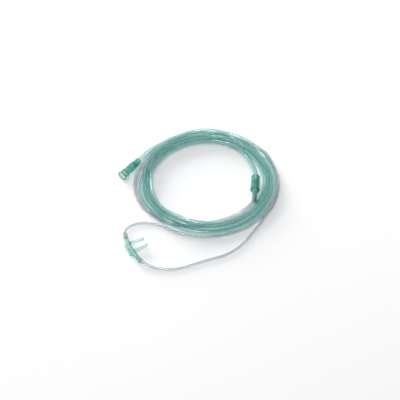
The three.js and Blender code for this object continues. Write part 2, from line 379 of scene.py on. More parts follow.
def smooth_path(points: Grid, step: float) -> Grid:
    """Evenly spaced points on a smooth curve through the given ones.

    Args:
        points: Points to pass through, n by 3.
        step: Wanted spacing.

    Returns:
        Points of a Catmull-Rom curve, spaced evenly by length.
    """
    ends = np.concatenate([2 * points[:1] - points[1:2], points, 2 * points[-1:] - points[-2:-1]])
    t = np.linspace(0, 1, 12, endpoint=False)[None, :, None]
    a, b, c, d = (ends[k : len(ends) - 3 + k, None, :] for k in range(4))
    curve = 0.5 * (
        2 * b + (c - a) * t + (2 * a - 5 * b + 4 * c - d) * t**2 + (3 * b - a - 3 * c + d) * t**3
    )
    dense = np.concatenate([curve.reshape(-1, 3), points[-1:]])
    length = np.concatenate([[0.0], np.cumsum(np.linalg.norm(np.diff(dense, axis=0), axis=1))])
    wanted = np.linspace(0.0, length[-1], max(3, int(round(length[-1] / step)) + 1))
    return np.stack([np.interp(wanted, length, dense[:, k]) for k in range(3)], 1)


def path_length(path: Grid) -> float:
    """Length of a path."""
    return float(np.linalg.norm(np.diff(path, axis=0), axis=1).sum())


def softened(path: Grid, rounds: int) -> Grid:
    """Path with small kinks taken out, its ends kept.

    Args:
        path: Evenly spaced points.
        rounds: How often each point moves towards its neighbours' middle.

    Returns:
        The smoothed path.
    """
    out = path.copy()
    for _ in range(rounds):
        out[2:-2] += 0.5 * (0.5 * (out[3:-1] + out[1:-3]) - out[2:-2])
    return out


def ease(value: Grid) -> Grid:
    """Smooth step from 0 to 1: 3 x squared less 2 x cubed, x kept from 0 to 1."""
    x = np.clip(value, 0.0, 1.0)
    return x * x * (3 - 2 * x)


def applied(piece: bpy.types.Object) -> None:
    """Turns a piece's modifiers into its mesh.

    Args:
        piece: The piece, which keeps its name and place.
    """
    seen = piece.evaluated_get(bpy.context.evaluated_depsgraph_get())
    mesh = bpy.data.meshes.new_from_object(seen)
    piece.modifiers.clear()
    old, piece.data = piece.data, mesh
    bpy.data.meshes.remove(old)


def carve(piece: bpy.types.Object, tools: Sequence[bpy.types.Object]) -> None:
    """Cuts closed shapes out of a piece.

    Args:
        piece: What is cut.
        tools: Closed shapes, which are used up.
    """
    for tool in tools:
        cutting = piece.modifiers.new("cut", "BOOLEAN")
        cutting.operation, cutting.solver, cutting.object = "DIFFERENCE", "EXACT", tool
        applied(piece)
        bpy.data.objects.remove(tool)
    piece.data.shade_smooth()
    piece.data.set_sharp_from_angle(angle=math.radians(38))


def fused(pieces: Sequence[bpy.types.Object], grain: float, rounds: int) -> bpy.types.Object:
    """Melts overlapping closed shapes into one, with soft inner corners.

    Args:
        pieces: Shapes, of which the first is kept.
        grain: Size of the fused surface's faces, in metres.
        rounds: How much the surface is smoothed.

    Returns:
        The first piece, holding one even skin around all of them.
    """
    whole = pieces[0]
    work = bmesh.new()
    for piece in pieces:
        work.from_mesh(piece.data)
    work.to_mesh(whole.data)
    work.free()
    for piece in pieces[1:]:
        bpy.data.objects.remove(piece)
    skin = whole.modifiers.new("skin", "REMESH")
    skin.mode, skin.voxel_size, skin.use_smooth_shade = "VOXEL", grain, True
    soft = whole.modifiers.new("soft", "SMOOTH")
    soft.factor, soft.iterations = 0.5, rounds
    applied(whole)
    return whole


def dress(piece: bpy.types.Object, material: bpy.types.Material,
          nodes: Sequence[str]) -> None:
    """Gives a piece its material, hangs it on the root body and hides the solids that it stands for.

    Args:
        piece: The new piece.
        material: Its material.
        nodes: The solids that it replaces.
    """
    piece.data.materials.clear()
    piece.data.materials.append(material)
    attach(piece, "root")
    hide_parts(*nodes)


# Where things are, as in the solid model


@dataclass
class Layout:
    """Sizes and places that the fittings and the tubes share."""

    supply_radius: float = 2.9
    supply_bore: float = 1.95
    headset_radius: float = 1.65
    headset_bore: float = 0.95
    floor_gap: float = 0.1
    coil_inner: float = 67.0
    coil_outer: float = 86.0
    connector_bearing: float = 158.5
    connector_standoff: float = 6.0
    connector_heading: float = 51.6
    connector_length: float = 32.7
    connector_height: float = 6.2
    connector_tube_depth: float = 10.0
    junction_bearing: float = -29.7
    junction_standoff: float = 2.9
    junction_heading: float = -93.1
    junction_height: float = 5.8
    junction_body: float = 22.4
    junction_taper: float = 2.2
    stem_length: float = 13.6
    stem_tube_pitch: float = 3.9
    stem_tube_depth: float = 6.0
    junction_tube_depth: float = 10.0
    nose_middle: tuple[float, float] = (-91.2, -105.4)
    nose_heading: float = -65.9
    nose_height: float = 3.7
    nose_chord: float = 48.6
    nose_bow: float = 3.6
    sleeve_tube_depth: float = 8.0
    axis: Grid = field(default_factory=lambda: np.zeros(3))

    def __post_init__(self) -> None:
        """Reads the coil's axis from the frame."""
        low, high = (np.array(corner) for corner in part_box("supply_coil"))
        self.axis = np.array([*((low + high) / 2)[:2], 0.0])

    def metres(self, points: Sequence[Sequence[float]] | Grid) -> Grid:
        """Points in millimetres from the coil's axis, as metres in the frame."""
        return np.asarray(points, float) * MM + self.axis

    def at(self, bearing: float, distance: float, height: float = 0.0) -> Grid:
        """Point at a bearing and distance from the coil's axis."""
        turn = math.radians(bearing)
        return np.array([distance * math.cos(turn), distance * math.sin(turn), height])

    @property
    def stem_end(self) -> float:
        """Junction's length, top to stem end."""
        return self.junction_body + self.junction_taper + self.stem_length

    @property
    def connector_exit(self) -> Grid:
        """Middle of the connector's tube end."""
        distance = self.coil_outer + self.connector_standoff
        return self.at(self.connector_bearing, distance, self.connector_height)

    @property
    def connector_mouth(self) -> Grid:
        """Middle of the connector's mouth."""
        return self.connector_exit - self.at(self.connector_heading, self.connector_length)

    @property
    def stem_tip(self) -> Grid:
        """Middle of the end of the junction's stem."""
        distance = self.coil_inner - self.junction_standoff
        return self.at(self.junction_bearing, distance, self.junction_height)

    @property
    def junction_top(self) -> Grid:
        """Middle of the junction's top."""
        return self.stem_tip - self.at(self.junction_heading, self.stem_end)

    def from_nose(self, local: Grid) -> Grid:
        """Turns and moves points of the nose piece's own axes.

        Args:
            local: Points from the nose piece's middle, x along its bar.

        Returns:
            The points from the coil's axis.
        """
        turn = math.radians(self.nose_heading)
        x, y, z = np.moveaxis(np.asarray(local, float), -1, 0)
        return np.stack(
            [
                self.nose_middle[0] + x * math.cos(turn) - y * math.sin(turn),
                self.nose_middle[1] + x * math.sin(turn) + y * math.cos(turn),
                self.nose_height + z,
            ],
            -1,
        )

    def nose_bar(self, t: Grid) -> Grid:
        """The nose piece's middle line, a parabola.

        Args:
            t: Place along it, 0 to 1.

        Returns:
            Points in its own axes.
        """
        t = np.asarray(t, float)
        x = (t - 0.5) * self.nose_chord
        return np.stack([x, -4 * t * (1 - t) * self.nose_bow, 0 * t], -1)


@dataclass
class Strand:
    """One tube's lay in the coil: distance and height against degrees of winding."""

    name: str
    radius: float
    keys: tuple[tuple[float, float, float], ...]
    weight: float
    first: int = 0
    spot: Grid = field(default_factory=lambda: np.zeros((0, 2)))


@dataclass
class CoilLay:
    """Lays the tubes of the coil on each other by pushing overlapping sections apart.

    Every strand is a row of stations, one every few degrees of winding, clockwise
    seen from above. Each station holds the strand's distance from the axis and its
    height. Stations at the same bearing are sections in one upright plane, so they
    sink, meet the floor and push each other apart there.
    """

    layout: Layout
    step: float = 1.5
    start: float = -8.0
    bearing: float = 150.0
    drift: float = 0.9
    rounds: int = 700
    clearance: float = 0.2
    bell: int = 15
    sinking: float = 0.05
    pull: float = 0.02
    straightening: float = 0.45
    shove: float = 0.6
    floor_lanes: tuple[float, float, float] = (70.0, 75.9, 81.8)
    upper_lanes: tuple[float, float] = (72.9, 78.8)

    def strands(self) -> list[Strand]:
        """The supply tube and both headset tubes, as laid in the photograph.

        Returns:
            Strands with their keys of winding, distance and height.
        """
        inner, middle, outer = self.floor_lanes
        low_up, high_up = self.upper_lanes
        floor = self.layout.supply_radius + self.layout.floor_gap
        thin = self.layout.headset_radius + self.layout.floor_gap
        top = 8.1
        stem = self.layout.junction_height
        half = self.layout.stem_tube_pitch / 2
        supply = (
            (-8, 92.0, 6.2), (0, 88.5, 6.2), (12, 84.5, 6.0), (25, 82.6, 6.0),
            (90, outer, 5.5), (150, outer, floor), (318, outer, floor), (362, middle, floor),
            (680, middle, floor), (728, inner, floor), (1035, inner, floor),
            (1080, low_up, top), (1380, low_up + 1, top), (1440, high_up + 1.5, top),
            (1500, high_up + 2.6, top + 1.5), (1520, 74, 12), (1535, 67, 9.5),
            (1545, 64.0, 8), (1560, 61.5, 6), (1573, 59.5, 5.8),
        )
        first = (
            (180, 64.0, stem - half), (188, 65.2, thin), (235, 66.5, thin), (290, 84, thin),
            (312, 90.0, thin), (330, 90.2, thin), (345, 88.0, thin), (365, 86.0, thin),
            (400, 83.6, thin), (450, 84.5, thin), (490, 85.6, thin), (549, 87.4, thin),
        )
        second = (
            (180, 64.0, stem + half), (190, 65.0, 5.0), (205, 63.0, thin), (240, 64.5, thin),
            (300, 85.5, thin), (320, 87.0, thin), (333, 86.8, thin), (345, 84.7, thin),
            (365, 82.6, thin), (395, 80.2, thin), (450, 81.2, thin), (490, 84.2, 5.2),
            (545, 84.5, 5.2), (575, 86.2, thin), (639, 88.5, thin),
        )
        return [
            Strand("supply", self.layout.supply_radius, supply, 1.0),
            Strand("headset_a", self.layout.headset_radius, first, 0.3),
            Strand("headset_b", self.layout.headset_radius, second, 0.3),
        ]

    def _station(self, strand: Strand) -> None:
        """Fills a strand's stations: keys joined by lines, then smoothed with a bell.

        Args:
            strand: The strand, whose keys are read.
        """
        keys = np.array(strand.keys, float)
        count = int(round((keys[-1, 0] - keys[0, 0]) / self.step)) + 1
        wound = keys[0, 0] + self.step * np.arange(count)
        bell = np.hanning(self.bell) / np.hanning(self.bell).sum()
        spot = np.stack([np.interp(wound, keys[:, 0], keys[:, k]) for k in (1, 2)], 1)
        padded = np.pad(spot, ((self.bell // 2,) * 2, (0, 0)), mode="edge")
        spot = np.stack([np.convolve(padded[:, k], bell, "valid") for k in (0, 1)], 1)
        spot[:, 0] += self.drift * np.cos(np.radians(self.bearing - wound) - math.pi)
        strand.spot = spot
        strand.first = int(round((keys[0, 0] - self.start) / self.step))

    def _meetings(self, strands: list[Strand]) -> list[tuple[int, slice, int, slice, float]]:
        """Finds the stretches of strands that lie at the same bearings.

        Args:
            strands: The strands, with their stations.

        Returns:
            First strand and stretch, second strand and stretch, and how near they may come.
        """
        turn = int(round(360 / self.step))
        found = []
        for i, a in enumerate(strands):
            for j in range(i, len(strands)):
                b = strands[j]
                for k in range(-5, 6):
                    shift = b.first - a.first - k * turn
                    low, high = max(0, shift), min(len(a.spot), len(b.spot) + shift)
                    if high > low and not (i == j and k <= 0):
                        other = slice(low - shift, high - shift)
                        found.append((i, slice(low, high), j, other, a.radius + b.radius))
        return found

    def lay(self) -> dict[str, Grid]:
        """Settles the strands and gives their centrelines.

        Returns:
            Points in millimetres from the coil's axis, by strand name.
        """
        strands = self.strands()
        for strand in strands:
            self._station(strand)
        wanted = [strand.spot.copy() for strand in strands]
        meetings = self._meetings(strands)
        for turn in range(self.rounds):
            sink = self.sinking * (1 - turn / self.rounds)
            for strand, goal in zip(strands, wanted):
                spot = strand.spot
                spot[:, 1] -= sink
                spot[:, 0] += self.pull * (goal[:, 0] - spot[:, 0])
                bend = 0.5 * (spot[2:] + spot[:-2]) - spot[1:-1]
                spot[3:-3] += self.straightening * bend[2:-2]
            for i, here, j, there, near in meetings:
                a, b = strands[i], strands[j]
                gap = b.spot[there] - a.spot[here]
                apart = np.hypot(gap[:, 0], gap[:, 1]) + 1e-9
                push = np.clip(near + self.clearance - apart, 0, None) / apart * self.shove
                share = b.weight / (a.weight + b.weight)
                a.spot[here] -= share * gap * push[:, None]
                b.spot[there] += (1 - share) * gap * push[:, None]
            for strand, goal in zip(strands, wanted):
                lowest = strand.radius + self.layout.floor_gap
                strand.spot[:, 1] = np.maximum(strand.spot[:, 1], lowest)
                strand.spot[:3], strand.spot[-3:] = goal[:3], goal[-3:]
        return {strand.name: self._points(strand) for strand in strands}

    def _points(self, strand: Strand) -> Grid:
        """Turns stations into points.

        Args:
            strand: A settled strand.

        Returns:
            Distance times the bearing's cosine and sine, and height.
        """
        wound = self.start + (strand.first + np.arange(len(strand.spot))) * self.step
        turn = np.radians(self.bearing - wound)
        away, height = strand.spot.T
        return np.stack([away * np.cos(turn), away * np.sin(turn), height], 1)


@dataclass
class Tubes:
    """The three tubes, each one free cord from fitting to fitting."""

    layout: Layout
    lay: dict[str, Grid]
    ring_step: float = 1.6
    seat_gap: float = 0.4
    supply_sides: int = 28
    headset_sides: int = 20
    route_a: tuple[tuple[float, float], ...] = (
        (62.6, -65.2), (56.6, -75.4), (47.9, -89.0), (40.6, -99.4), (31.6, -108.4),
        (19.6, -116.6), (8.0, -121.3), (-6.2, -126.6), (-19.6, -132.2), (-31.6, -137.0),
        (-45.6, -139.4), (-59.6, -138.2), (-71.0, -134.6),
    )
    route_b: tuple[tuple[float, float], ...] = (
        (-65.0, -66.6), (-74.1, -65.0), (-83.0, -65.4), (-90.6, -67.6), (-96.6, -71.4),
        (-100.0, -75.9),
    )

    def supply_path(self) -> Grid:
        """Finds the supply tube's centreline.

        Returns:
            Points from the connector's bore, through the coil, to the junction's.
        """
        p = self.layout
        heading = p.at(p.connector_heading, 1.0)
        seat = p.connector_exit - heading * (p.connector_tube_depth - self.seat_gap)
        inward = p.at(p.junction_heading, 1.0)
        last = p.junction_top + inward * (p.junction_tube_depth - self.seat_gap)
        start = [seat, p.connector_exit - heading * 4, p.connector_exit]
        end = [p.junction_top - inward * 3, p.junction_top + inward * 3, last]
        return self._joined(start, self.lay["supply"][3:-2:2], end)

    def headset_path(self, name: str, side: int) -> Grid:
        """Centreline of one headset tube.

        Args:
            name: Strand's name in the coil.
            side: -1 for the lower outlet and lower sleeve, 1 for the upper ones.

        Returns:
            Points from the junction's stem to the nose piece's sleeve.
        """
        p = self.layout
        outward = p.at(p.junction_heading, 1.0)
        outlet = p.stem_tip + np.array([0, 0, side * p.stem_tube_pitch / 2])
        seat = outlet - outward * (p.stem_tube_depth - self.seat_gap)
        floor = p.headset_radius + p.floor_gap
        route = np.array(self.route_a if side < 0 else self.route_b)
        loose = np.column_stack([route, np.full(len(route), floor)])
        loose[-1, 2] += 0.35 * (p.nose_height - floor)
        inward = -1.0 if side < 0 else 1.0
        deep = p.sleeve_tube_depth / p.nose_chord
        place = (1.0 if side < 0 else 0.0) + inward * np.array([-0.04, 0.0, deep * 0.5, deep])
        end = p.from_nose(p.nose_bar(place))
        start = [seat, outlet - outward * 2, outlet]
        return self._joined(start, self.lay[name][3:-1:2], [*loose, *end])

    def _joined(self, start: Sequence[Grid], coil: Grid, end: Sequence[Grid]) -> Grid:
        """One even, slightly smoothed path through three stretches."""
        points = np.concatenate([np.array(start), coil, np.array(end)])
        return smooth_path(softened(smooth_path(points, 2.0), 6), self.ring_step)

    def build(self, finish: dict[Slot, bpy.types.Material]) -> None:
        """Args:
            finish: Material of each slot.
        """
        p = self.layout
        supply = self.supply_path()
        self._tube("supply_tube", supply, p.supply_radius, p.supply_bore, self.supply_sides,
                   Slot.SUPPLY, finish, ("supply_coil", "supply_lead", "supply_tail"))
        for letter, side in (("a", -1), ("b", 1)):
            path = self.headset_path(f"headset_{letter}", side)
            self._tube(f"headset_vinyl_{letter}", path, p.headset_radius, p.headset_bore,
                       self.headset_sides, Slot.CLEAR, finish,
                       (f"headset_stub_{letter}", f"headset_tube_{letter}"))

    def _tube(self, name: str, path: Grid, outer: float, bore: float, sides: int, slot: Slot,
              finish: dict[Slot, bpy.types.Material], nodes: Sequence[str]) -> None:
        """Makes one hollow tube: circles of both radii along the path, joined at its ends.

        Args:
            name: Piece's name.
            path: Centreline.
            outer: Outer radius.
            bore: Bore's radius.
            sides: Points around the tube.
            slot: Material slot.
            finish: Material of each slot.
            nodes: Solids that the tube stands for.
        """
        skin = rings_along(path, outer, outer, sides)
        wall = rings_along(path, bore, bore, sides)[::-1]
        points = self.layout.metres(np.concatenate([skin, wall]).reshape(-1, 3))
        piece = put_mesh(name, points, ring_faces(2 * len(path), sides, closed=True))
        dress(piece, finish[slot], nodes)
        centre = self.layout.metres(path)
        log.info("%s %.3f m", name, path_length(centre))


@dataclass
class Turning:
    """Places rings about a level axis that starts at a point and has a heading."""

    layout: Layout
    origin: Grid
    heading: float

    def points(self, along: Grid, across: Grid, over: Grid) -> Grid:
        """Places points about the axis.

        Args:
            along: Distance along the axis.
            across: Distance level across it.
            over: Height over it.

        Returns:
            Points in metres, n by 3.
        """
        ahead = self.layout.at(self.heading, 1.0)
        aside = np.cross(ahead, [0.0, 0.0, 1.0])
        rise = np.array([0.0, 0.0, 1.0])
        return self.layout.metres(
            self.origin + along[..., None] * ahead + across[..., None] * aside + over[..., None] * rise
        ).reshape(-1, 3)

    def lathe(self, name: str, outline: Grid, sides: int, closed: bool,
              relief: Callable[[Grid, Grid, Grid], Grid] | None = None,
              raised: float = 0.0) -> bpy.types.Object:
        """Turns an outline about the axis.

        Args:
            name: Object's name.
            outline: Place along the axis and radius of each point, n by 2.
            sides: Points around the axis.
            closed: Whether the outline is a closed loop, as of a hollow shape.
            relief: Added radius, from place, radius and angle.
            raised: How far the turned shape stands over the axis.

        Returns:
            The turned shape: radius times the angle's cosine and sine.
        """
        angle = (np.arange(sides) / sides * 2 * math.pi)[None, :]
        along, radius = (outline[:, k, None] + 0 * angle for k in (0, 1))
        if relief is not None:
            radius = radius + relief(along, radius, angle)
        points = self.points(along, radius * np.cos(angle), radius * np.sin(angle) + raised)
        return put_mesh(name, points, ring_faces(len(outline), sides, closed))


@dataclass
class SocketConnector:
    """Soft flared socket with a lip, a collar, grip flutes and ribs, hollow throughout."""

    layout: Layout
    lip: tuple[float, float] = (6.2, 1.7)
    collar: tuple[float, float, float] = (5.8, 1.5, 5.9)
    body: float = 4.9
    neck: float = 4.15
    taper: float = 12.0
    ribs: tuple[float, float] = (18.8, 23.8)
    rib_size: tuple[float, float] = (1.2, 0.45)
    mouth: float = 4.75
    socket_end: float = 3.7
    socket_depth: float = 15.0
    socket_rings: tuple[float, ...] = (4.5, 7.5, 10.5)
    bore_clearance: float = 0.12
    passage: float = 2.0
    flutes: int = 12
    flute_depth: float = 0.28
    sides: int = 96

    def outline(self) -> Grid:
        """Outline, along the outside from the mouth and back through the bore.

        Returns:
            Place along the axis and radius of each point.
        """
        p = self.layout
        length, taper_start = p.connector_length, p.connector_length - self.taper
        lip_radius, lip_width = self.lip
        place, width, radius = self.collar
        outer = [
            (0.0, lip_radius, 0.5), (lip_width, lip_radius, 0.5), (lip_width + 0.3, self.body, 0.4),
            (place, self.body, 0.3), (place + 0.2, radius, 0.4), (place + width - 0.2, radius, 0.4),
            (place + width, self.body, 0.3),
        ]
        for start in self.ribs:
            base = self.body - (self.body - self.neck) * float(
                np.clip((start - taper_start) / (self.taper * 0.7), 0, 1)
            )
            rib_width, rib_height = self.rib_size
            outer += [
                (start, base, 0.3), (start + 0.3, base + rib_height, 0.3),
                (start + rib_width - 0.3, base + rib_height, 0.3), (start + rib_width, base, 0.3),
            ]
        bore = p.supply_radius + self.bore_clearance
        seat = length - p.connector_tube_depth
        inner = [
            (length - 3.0, self.neck, 1.5), (length, self.neck, 0.35), (length, bore + 0.25, 0.2),
            (length - 0.5, bore, 0.3), (seat, bore, 0.2), (seat - 0.3, self.passage, 0.2),
            (self.socket_depth, self.passage, 0.3), (self.socket_depth - 0.6, self.socket_end, 0.4),
        ]
        for ring in sorted(self.socket_rings, reverse=True):
            share = 1 - ring / self.socket_depth
            wall = self.socket_end + (self.mouth - self.socket_end) * share
            inner += [(ring + 0.6, wall, 0.3), (ring, wall - 0.22, 0.3), (ring - 0.6, wall, 0.3)]
        inner += [(1.2, self.mouth, 0.4), (0.0, self.mouth + 0.5, 0.3)]
        return rounded([*outer, *inner], 0.55)

    def relief(self, along: Grid, radius: Grid, angle: Grid) -> Grid:
        """Grip flutes on the outside, between the collar and the first rib.

        Args:
            along: Place along the axis.
            radius: Radius there.
            angle: Angle around the axis.

        Returns:
            Added radius, less than none by the flutes' depth times a squared cosine.
        """
        start, end = self.collar[0] + self.collar[1] + 0.8, self.ribs[0] - 0.8
        window = ease((along - start) / 1.2) * ease((end - along) / 1.2)
        outside = radius > self.mouth + 0.05
        return -self.flute_depth * window * outside * np.cos(angle * self.flutes / 2) ** 2

    def build(self, finish: dict[Slot, bpy.types.Material]) -> None:
        """Makes and dresses the connector.

        Args:
            finish: Material of each slot.
        """
        turning = Turning(self.layout, self.layout.connector_mouth, self.layout.connector_heading)
        piece = turning.lathe("connector_moulding", self.outline(), self.sides, True, self.relief)
        dress(piece, finish[Slot.MOULDED], ("socket_connector",))
        log.info("connector_moulding, %d faces", len(piece.data.polygons))


@dataclass
class TubeJunction:
    """Moulded junction: fluted round body with a collar, and a flat stem with two outlets."""

    layout: Layout
    body: float = 5.25
    rim: tuple[float, float] = (5.55, 1.3)
    collar: tuple[float, float, float] = (19.9, 1.6, 5.8)
    stem_half_width: float = 2.75
    passage: float = 1.9
    bore_clearance: float = 0.12
    flutes: int = 10
    flute_depth: float = 0.24
    sides: int = 96

    def skin(self, turning: Turning) -> bpy.types.Object:
        """The outside, closed at both ends.

        Args:
            turning: Places the rings.

        Returns:
            Rings whose half width is that of the body or the stem, and whose upper
            and lower halves draw apart by half the outlets' pitch along the stem.
        """
        p = self.layout
        end, stem_start = p.stem_end, p.junction_body + p.junction_taper
        rim_radius, rim_width = self.rim
        place, width, collar_radius = self.collar
        outline = rounded(
            [
                (0.0, 3.6, 0.0), (0.0, rim_radius, 0.4), (rim_width, rim_radius, 0.35),
                (rim_width + 0.2, self.body, 0.3), (place, self.body, 0.3),
                (place + 0.2, collar_radius, 0.4), (place + width - 0.2, collar_radius, 0.4),
                (place + width, self.body, 0.3), (p.junction_body, self.body - 0.35, 0.8),
                (stem_start, self.stem_half_width + 0.2, 1.0),
                (stem_start + 2, self.stem_half_width, 1.0), (end - 1.6, self.stem_half_width, 0.4),
                (end - 1.2, self.stem_half_width + 0.18, 0.3),
                (end, self.stem_half_width + 0.18, 0.4), (end, self.stem_half_width - 0.5, 0.0),
            ],
            0.5,
        )
        angle = ((np.arange(self.sides) + 0.5) / self.sides * 2 * math.pi)[None, :]
        along, radius = (outline[:, k, None] + 0 * angle for k in (0, 1))
        window = ease((along - rim_width - 1.0) / 1.2) * ease((place - 1.0 - along) / 1.2)
        radius = radius - self.flute_depth * window * np.cos(angle * self.flutes / 2) ** 2
        apart = p.stem_tube_pitch / 2 * ease((along - p.junction_body + 0.6) / (p.junction_taper + 1))
        over = radius * np.sin(angle) + apart * np.tanh(8 * np.sin(angle))
        points = turning.points(along, radius * np.cos(angle), over)
        return put_mesh("junction_moulding", points, ring_faces(len(outline), self.sides, False))

    def tools(self, turning: Turning) -> list[bpy.types.Object]:
        """The shapes of the bores.

        Args:
            turning: Places the rings.

        Returns:
            The supply bore with its passage, and both outlets.
        """
        p = self.layout
        wide = p.supply_radius + self.bore_clearance
        narrow = p.headset_radius + self.bore_clearance
        inlet = rounded(
            [
                (-1.0, wide + 0.4, 0.0), (0.0, wide + 0.4, 0.3), (0.5, wide, 0.3),
                (p.junction_tube_depth, wide, 0.2), (p.junction_tube_depth + 0.4, self.passage, 0.3),
                (p.stem_end - p.stem_tube_depth - 2.0, self.passage, 0.0),
            ],
            2.0,
        )
        outlet = rounded(
            [
                (p.stem_end - p.stem_tube_depth - 5.0, narrow * 0.7, 0.0),
                (p.stem_end - p.stem_tube_depth - 0.4, narrow * 0.7, 0.2),
                (p.stem_end - p.stem_tube_depth, narrow, 0.2),
                (p.stem_end - 0.35, narrow, 0.2), (p.stem_end, narrow + 0.12, 0.2),
                (p.stem_end + 1.0, narrow + 0.12, 0.0),
            ],
            2.0,
        )
        pitch = p.stem_tube_pitch / 2
        return [
            turning.lathe("inlet", inlet, 48, False),
            turning.lathe("outlet_low", outlet, 36, False, raised=-pitch),
            turning.lathe("outlet_high", outlet, 36, False, raised=pitch),
        ]

    def build(self, finish: dict[Slot, bpy.types.Material]) -> None:
        """Makes and dresses the junction.

        Args:
            finish: Material of each slot.
        """
        turning = Turning(self.layout, self.layout.junction_top, self.layout.junction_heading)
        piece = self.skin(turning)
        carve(piece, self.tools(turning))
        dress(piece, finish[Slot.MOULDED], ("tube_junction",))
        log.info("junction_moulding, %d faces", len(piece.data.polygons))


@dataclass
class NosePiece:
    """Soft hollow bar with a sleeve at each end, a lip tab and two curved open prongs."""

    layout: Layout
    sleeve: float = 2.7
    half_length: float = 9.5
    half_width: float = 3.2
    half_height: float = 3.7
    shoulder: float = 4.5
    prong_pitch: float = 13.4
    prong_tip_pitch: float = 10.0
    prong_reach: float = 16.6
    prong_rise: float = 2.2
    prong_radius: tuple[float, float] = (2.25, 1.8)
    prong_bore: tuple[float, float] = (1.45, 1.15)
    tab: tuple[float, float, float, float] = (18.0, 1.4, 1.9, 3.0)
    sleeve_bore: float = 1.8
    chamber: tuple[float, float] = (2.0, 2.5)
    grain: float = 0.00026
    soften: int = 7

    def swell(self, t: Grid) -> Grid:
        """How far the section has grown from sleeve to body, by distance from the middle."""
        away = np.abs(self.layout.nose_bar(t)[..., 0]) - self.half_length
        return 1 - ease(away / self.shoulder)

    def bar(self, name: str, t: Grid, sleeve: float, middle: tuple[float, float]) -> bpy.types.Object:
        """An oval bar along the middle line.

        Args:
            name: Object's name.
            t: Stations, 0 to 1 from sleeve end to sleeve end.
            sleeve: Radius in the sleeves.
            middle: Half width and half height in the body.

        Returns:
            The bar, closed at its ends.
        """
        path = self.layout.from_nose(self.layout.nose_bar(t))
        wide, high = (sleeve + (size - sleeve) * self.swell(t) for size in middle)
        rings = self.layout.metres(rings_along(path, wide, high, 40).reshape(-1, 3))
        return put_mesh(name, rings, ring_faces(len(t), 40, False))

    def prong(self, name: str, side: int, t: Grid, sizes: tuple[float, float]) -> bpy.types.Object:
        """One prong or its bore.

        Args:
            name: Object's name.
            side: -1 or 1.
            t: Stations from the bar's middle line, at 0, to the tip, at 1.
            sizes: Radius at the base and at the tip.

        Returns:
            A tapering tube on a quadratic curve, closed at its ends.
        """
        half, tip = side * self.prong_pitch / 2, side * self.prong_tip_pitch / 2
        knots = np.array(
            [
                [half, -self.layout.nose_bow, 0.0],
                [half, self.prong_reach * 0.55, self.prong_rise * 0.1],
                [tip, self.prong_reach, self.prong_rise],
            ]
        )
        s = t[:, None]
        curve = (1 - s) ** 2 * knots[0] + 2 * s * (1 - s) * knots[1] + s**2 * knots[2]
        radius = sizes[0] + (sizes[1] - sizes[0]) * t
        path = self.layout.from_nose(curve)
        rings = self.layout.metres(rings_along(path, radius, radius, 32).reshape(-1, 3))
        return put_mesh(name, rings, ring_faces(len(t), 32, False))

    def lip_tab(self) -> bpy.types.Object:
        """Makes the flat tab behind the bar.

        Returns:
            A rectangular plate whose far corners are quarter circles.
        """
        length, thickness, reach, corner = self.tab
        back = -self.layout.nose_bow - self.half_width - reach
        turn = np.linspace(0, math.pi / 2, 8)
        quarter = np.stack([np.sin(turn), -np.cos(turn)], 1) * corner
        right = quarter + [length / 2 - corner, back + corner]
        left = (right * [-1, 1])[::-1]
        front = np.array([[length / 2, -self.layout.nose_bow], [-length / 2, -self.layout.nose_bow]])
        edge = np.concatenate([left, right, front])
        low = 0.05 - self.half_height
        rows = [np.column_stack([edge, np.full(len(edge), z)]) for z in (low, low + thickness)]
        points = self.layout.metres(self.layout.from_nose(np.concatenate(rows)))
        return put_mesh("lip_tab", points, ring_faces(2, len(edge), False))

    def build(self, finish: dict[Slot, bpy.types.Material]) -> None:
        """Makes and dresses the nose piece.

        Args:
            finish: Material of each slot.
        """
        full = np.linspace(0, 1, 70)
        beyond = np.linspace(-0.03, 1.03, 74)
        outside = [
            self.bar("nose_moulding", full, self.sleeve, (self.half_width, self.half_height)),
            self.lip_tab(),
            *(self.prong(f"prong_{s}", s, np.linspace(0, 1, 30), self.prong_radius) for s in (-1, 1)),
        ]
        piece = fused(outside, self.grain, self.soften)
        tools = [self.bar("chamber", beyond, self.sleeve_bore, self.chamber)]
        for side in (-1, 1):
            reach = np.linspace(0.05, 1.06, 30)
            tools.append(self.prong(f"prong_bore_{side}", side, reach, self.prong_bore))
        carve(piece, tools)
        dress(piece, finish[Slot.SOFT], ("nose_piece",))
        log.info("nose_moulding, %d faces", len(piece.data.polygons))


# Stage, light and camera


@dataclass(frozen=True)
class SoftLight:
    """One soft light: its place from the coil's axis, its size and its watts.

    A light that isn't mirrored doesn't show in glossy and clear surfaces.
    """

    name: str
    place: tuple[float, float, float]
    size: tuple[float, float]
    power: float
    mirrored: bool


